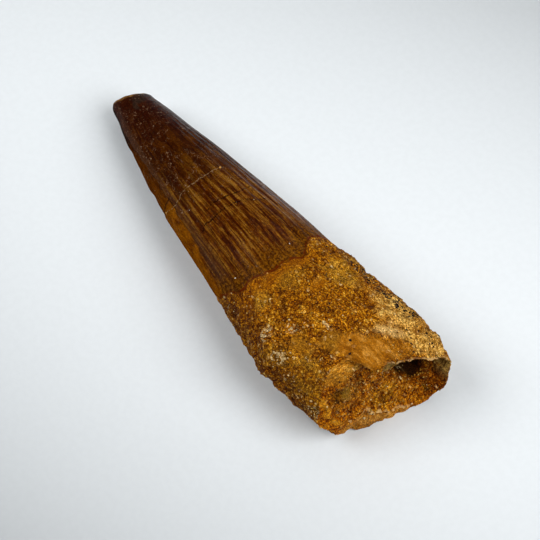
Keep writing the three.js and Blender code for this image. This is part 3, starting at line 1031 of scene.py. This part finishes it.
def enamel():
    n = new_material("enamel")
    n.place, n.fibre = n.vector("place"), n.vector("fibre")
    n.along, n.around, n.edge, n.flake = n["along"], n["around"], n["edge"], n["flake"]
    n.broad, n.mid, n.narrow, n.hair = (
        n.noise(n.fibre, (along, across, across), 2, 0.5, warp) for along, across, warp in (
            (0.08, 0.75, 0.25), (0.13, 1.7, 0.45), (0.2, 3.3, 0.6), (0.35, 7, 0.6)))
    n.mottle = n.noise(n.place, 2.4, 4, 0.7)
    n.patchy = n.noise(n.fibre, (0.35, 1.1, 1.1), 5, 0.68, 0.5)
    n.strip = n["strip"] * n.step(n.along, *STRIP_START, 0.2, 0.95)
    n.come = n.along + (n.noise(n.place, 0.2, 3, 0.55) - 0.5) * 14 + (n.broad - 0.5) * 14
    colour = enamel_streaks(n)
    for paint in (threads, dull_parts, bare_parts, dust, scuffs):
        colour = paint(n, colour)
    colour, gaps = cracks(n, colour)
    height = n.hair * 0.5 + n.narrow * 0.8 - gaps * 1.5
    height = height + n.noise(n.place, 5, 3, 0.6) * 0.25
    return n.finish(crown_ends(n, colour), 0.6, 0, gloss(n), 0.24, relief=(height, 0.00009))


# ---- Crust and fill ----

def sandy(name, fineness):
    """Cemented grains, each with its own tone, with dark gaps between them."""
    n = new_material(name)
    n.place, n.pit = n.vector("place"), n["pit"]
    n.mid = n.noise(n.place, 0.75, 4, 0.6, 0.3)
    n.fine = n.noise(n.place, 3.6, 4, 0.65)
    n.tone = n.chances(n.cells(n.place, fineness))[0]
    n.gap = n.step(n.cells(n.place, fineness, "DISTANCE_TO_EDGE"), 0, 0.12)
    # The tone is lower where the relief sinks into pits: painted shade.
    n.level = weighed(n.noise(n.place, 0.16, 3, 0.55, 0.4) * 0.42, [
        (n.mid, 0.34), (n.fine, 0.92), (n.tone, 0.25), (n.gap, 0.13), (n.pit, 0.13)])
    # Fine light and dark for every zone: random tone, and painted shade in the pits.
    n.shade = n.step(n.fine, 0.34, 0.66, 0.68, 1.3) * n.step(n.pit, -0.95, 0.35, 0.6, 1.1)
    n.shade = n.shade * n.step(n.noise(n.place, 6.5, 2, 0.6), 0.36, 0.64, 0.5, 1.5)
    n.quartz = n.step(n.tone, 0.95, 0.97) * n.step(n.noise(n.place, 0.9), 0.45, 0.65, 0.05, 0.6)
    n.height = n.gap * 0.7 + n.fine
    return n


def sandstone(n, tint):
    """Dark places are red brown, and bright ones pale yellow."""
    return n.times(n.ramp(
        n.level, (0.22, (0.055, 0.011, 0.0001)), (0.36, (0.135, 0.034, 0.0003)),
        (0.47, (0.25, 0.082, 0.0006)), (0.58, (0.38, 0.145, 0.002)),
        (0.7, (0.54, 0.265, 0.014)), (0.84, (0.72, 0.46, 0.09))), tint)


def with_quartz(n, colour):
    return n.mix(n.quartz, colour, n.times((0.76, 0.56, 0.27), n.grey))


def finish_sandy(n, colour):
    roughness = n.step(n.fine, 0.3, 0.7, 0.62, 0.85)
    return n.finish(colour, roughness, 0.05, relief=(n.height, 0.00012))


def crust_zones(n, colour):
    """Golden, olive and tan sand with a cream ridge that is partly painted highlight, and the
    smooth peach pad.
    """
    colour = n.mix(n["golden"] * n.step(n.fine, 0.35, 0.6, 0.15, 0.7), colour, n.ramp(
        n.mid, (0.3, (0.36, 0.145, 0.004)), (0.7, (0.66, 0.36, 0.035))))
    peach, tan, khaki = n.split(n.vector("tints"))
    colour = n.mix(khaki * 0.5, colour, n.ramp(
        n.fine, (0.3, (0.14, 0.062, 0.002)), (0.7, (0.34, 0.17, 0.014))))
    # Painted highlight, partly: the ridge's crest is cream.
    ridge = n.step(n.around, *RIDGE_SIDE) * n.step(n.along, *RIDGE_END)
    ridge = ridge * n.step(n.along, *RIDGE_START)
    sandy_tan = n.ramp(
        n.level, (0.33, (0.18, 0.066, 0.006)), (0.44, (0.48, 0.222, 0.025)),
        (0.54, (0.7, 0.37, 0.066)), (0.68, (0.88, 0.56, 0.15)))
    cream = n.ramp(n.mid, (0.3, (0.54, 0.27, 0.042)), (0.65, (0.92, 0.58, 0.2)))
    share = tan * n.step(ridge, 0, 1, 0.78, 0.94)
    colour = n.mix(share, colour, n.mix(ridge, sandy_tan, cream))
    return n.mix(peach * 0.92, colour, n.ramp(
        n.noise(n.scaled(n.place, (0.5, 1, 1)), 0.8, 5, 0.62, 0.8),
        (0.33, (0.22, 0.066, 0.0012)), (0.5, (0.36, 0.126, 0.0042)), (0.68, (0.6, 0.265, 0.034))))


def dark_specks(n, colour):
    """Dark red specks low on the flank."""
    specks = n.step(n.noise(n.place, 1.7, 3, 0.6), 0.52, 0.58) * n.step(n.around, *FLANK)
    return n.mix(specks * 0.65, colour, (0.05, 0.0085, 0.0006))


def crust_ends(n, colour):
    """The red line at the enamel, and the pale lip of the rim."""
    line = n.step(n.edge, 0.5, 0.1, 0, 0.8) * n.step(n.mid, 0.4, 0.58, 0.25, 1)
    colour = n.mix(line, colour, (0.1, 0.019, 0.0012))
    lip = n.step(n["rim"], 0.7, 0.95) * n.near(n.around, *LIP, 0, 0.75)
    return n.mix(lip * n.step(n.mid, 0.4, 0.58, 0.2, 1), colour, (0.7, 0.44, 0.17))


def small_pores(n, colour):
    """Black pores, mostly towards the side away from the worn edge."""
    distance = n.cells(n.place, 1.9)
    size, chance, _ = n.chances(distance)
    needed = n.step(n.along, *FEWER_BACK, 0.15, 0.68) + n.step(n.around, *FEWER_LOW, 0, 0.6)
    needed = needed + n.step(n.noise(n.place, 0.5), 0.42, 0.58, -0.15, 0.25)
    zone = n.step(n.around, *PORES_SIDE) * n.step(n.edge, *PORES_START)
    pore = (distance < size * 0.28 + 0.33) * (chance > needed) * zone
    return n.mix(pore, colour, (0.012, 0.008, 0.006))


def crust():
    """The crust of the root. Where it is smooth, its grains are faint and it has no quartz."""
    n = sandy("crust", 2.3)
    calm = 1 - n["rough"]
    n.along, n.around, n.edge = n["along"], n["around"], n["edge"]
    n.level = n.mix(calm * 0.6, n.level, (1.025, 1.025, 1.025)) - 0.555
    pale = n["pale"] * n.step(n.tone * (n.fine + 0.5), 0.45, 0.75, 0, 0.75)
    n.quartz = (n.quartz | pale) * (1 - calm)
    # Painted shade on the low flank that turns away from the lamps.
    shade = n.shade * n.step(n.around, *FLANK_SHADE, 1, 0.76)
    shade = shade * (1 - calm * 0.5) + calm * 0.475
    n.grey = n.joined(shade, shade, shade)
    n.height = n.height * (1 - calm * 0.75)
    colour = n.times(crust_zones(n, sandstone(n, (1, 0.89, 0.68))), n.grey)
    for paint in (dark_specks, with_quartz, crust_ends, small_pores):
        colour = paint(n, colour)
    return finish_sandy(n, colour)


def wall_zones(n, colour):
    """The ribbed inner side, the leaning broken wall and its bright rays, partly painted highlight.
    """
    colour = n.mix(n["inner"] * 0.85, colour, n.ramp(
        n.noise(n.place, (3, 0.5, 0.5), 3, 0.6),
        (0.38, (0.07, 0.036, 0.005)), (0.6, (0.6, 0.37, 0.09))))
    colour = n.mix(n["bevel"] * 0.8, colour, n.ramp(
        n.noise(n.place, (1, 0.5, 2.6), 3, 0.6, 0.6),
        (0.33, (0.2, 0.07, 0.002)), (0.6, (0.5, 0.2, 0.014))))
    # Bright rays, partly painted highlight on the lit wall.
    return n.mix(n["rays_and_highlight"] * n.step(n.mid, 0.3, 0.55, 0.5, 1), colour, n.ramp(
        n.noise(n.place, (2.6, 0.6, 2.2), 4, 0.65, 1.2), (0.36, (0.3, 0.09, 0.002)),
        (0.52, (0.7, 0.29, 0.018)), (0.66, (1, 0.6, 0.12))))


def fill_zones(n, colour):
    """Golden sand low down, an olive pocket, the tongue's face, and painted shade in the hollow and
    on the sand in front of it.
    """
    colour = n.mix(n["golden"] * n.step(n.mid, 0.38, 0.6, 0.05, 0.6), colour, n.ramp(
        n.level, (0.36, (0.19, 0.066, 0.001)), (0.52, (0.37, 0.15, 0.002)),
        (0.7, (0.62, 0.33, 0.018))))
    olive = n["olive"] * n.step(n.mid, 0.35, 0.6, 0.2, 0.8)
    colour = n.mix(olive, colour, (0.2, 0.115, 0.012))
    colour = n.mix(n["band"] * 0.8, colour, n.ramp(
        n.mid, (0.35, (0.1, 0.055, 0.006)), (0.6, (0.27, 0.17, 0.035))))
    # Painted shade in the hollow under the rim.
    deep = n["deep"] + (n.mid - 0.5) * 1.2 - n["inner"]
    colour = n.mix(n.step(deep, 0.2, 0.9, 0, 0.92), colour, (0.02, 0.007, 0.0006))
    # Painted shade on the sand in front of the hollow.
    return n.mix(n["dim"], colour, n.times(colour, (0.6, 0.5, 0.6)))


def crests(n, colour):
    """The lower wall, the lit crest and the warm edge on the left."""
    lower = n.ramp(n.mid, (0.35, (0.24, 0.075, 0.003)), (0.62, (0.6, 0.28, 0.045)))
    colour = n.mix(n["lower"] * 0.8, colour, n.times(lower, n.grey))
    crest = n.step(n["crest"], 0.25, 0.75) * n.step(n.mid, 0.35, 0.6, 0.45, 0.9)
    colour = n.mix(crest, colour, (0.8, 0.5, 0.19))
    warm = n.step(n["warm"], 0.3, 0.9, 0, 0.8) * n.step(n.fine, 0.35, 0.6, 0.3, 1)
    return n.mix(warm, colour, (0.76, 0.33, 0.016))


def fill():
    """The broken wall and the sand inside it."""
    n = sandy("fill", 1.9)
    n.level = n.level - 0.555
    n.grey = n.joined(n.shade, n.shade, n.shade)
    colour = fill_zones(n, wall_zones(n, sandstone(n, (0.94, 0.7, 0.32))))
    return finish_sandy(n, crests(n, with_quartz(n, n.times(colour, n.grey))))


def sand():
    n = new_material("sand")
    return n.finish(n.vector("tint"), 0.5, 0.15)


def table_top():
    """A pale top with painted light: a little brighter on the far right, as in soft daylight."""
    n = new_material("table_top")
    place = n.add("TexCoord", output="Object")
    p, q = (
        (n.vectors("DOT_PRODUCT", place, way * 20, "Value") & 1.1) | -1.1
        for way in (RIGHT, AWAY))
    # Painted light: the top's tone falls off away from its brightest place.
    level = weighed(1, [
        (p, 0.048), (q, 0.07), (p * p, -0.075), (p * q, -0.155), (q * q, -0.155)])
    level = level * n.step(n.noise(place, 900), 0.3, 0.7, 0.99, 1.01)
    return n.finish(n.joined(*(level * share for share in (0.815, 0.856, 0.88))), 0.6, 0.1)


# ---- Tooth ----

crown, root = crown_surface(), root_surface()
end = end_surface(root["place"][-1])
skin("crown", crown, enamel(), close_first=True)
skin("root", root, crust())
skin("broken_end", end, fill(), close_last=True)
add_sand("sand_grains", all_seats(crown, root, end), sand())

# ---- Stage ----

floor_mesh = bpy.data.meshes.new("floor")
floor_mesh.from_pydata([(-3, -3, 0), (3, -3, 0), (3, 3, 0), (-3, 3, 0)], [], [(0, 1, 2, 3)])
floor = new_object("floor", floor_mesh)
floor_mesh.materials.append(table_top())


def towards(turned, raised):
    """A direction, turned from the picture's right towards its far side and then raised."""
    turned, raised = math.radians(turned), math.radians(raised)
    level = RIGHT * math.cos(turned) + AWAY * math.sin(turned)
    return level * math.cos(raised) + Vector((0, 0, math.sin(raised)))


def aimed(name, data, back, distance):
    """A camera or a lamp that looks at the tooth."""
    added = new_object(name, data)
    added.location = AIM + back * distance
    added.rotation_euler = (-back).to_track_quat("-Z", "Y").to_euler()
    return added


lens = bpy.data.cameras.new("camera")
lens.sensor_width, lens.lens, lens.clip_start = 36, 116.25, 0.01
bpy.context.scene.camera = aimed("camera", lens, towards(270, ELEVATION), DISTANCE)

for name, turned, raised, size, level in LAMPS:
    light = bpy.data.lights.new(name, "AREA")
    light.shape, light.size = "DISK", size
    light.energy = level * (math.pi * LAMP_DISTANCE) ** 2 / math.sin(math.radians(raised))
    aimed(name, light, towards(turned, raised), LAMP_DISTANCE)

# A room that is bright low down and dim overhead.
room = Nodes(bpy.data.worlds.new("room"))
height = room.split(room.add("TexCoord", output="Generated"))[2]
room.feed(room.tree.nodes["Background"].inputs["Color"], room.ramp(height, *(
    (at, (0.95 * level, 0.98 * level, level))
    for at, level in ((0, 0.4), (0.3, 0.12), (0.8, 0.02)))))
bpy.context.scene.world = room.owner
bpy.context.scene.view_settings.view_transform = "Standard"
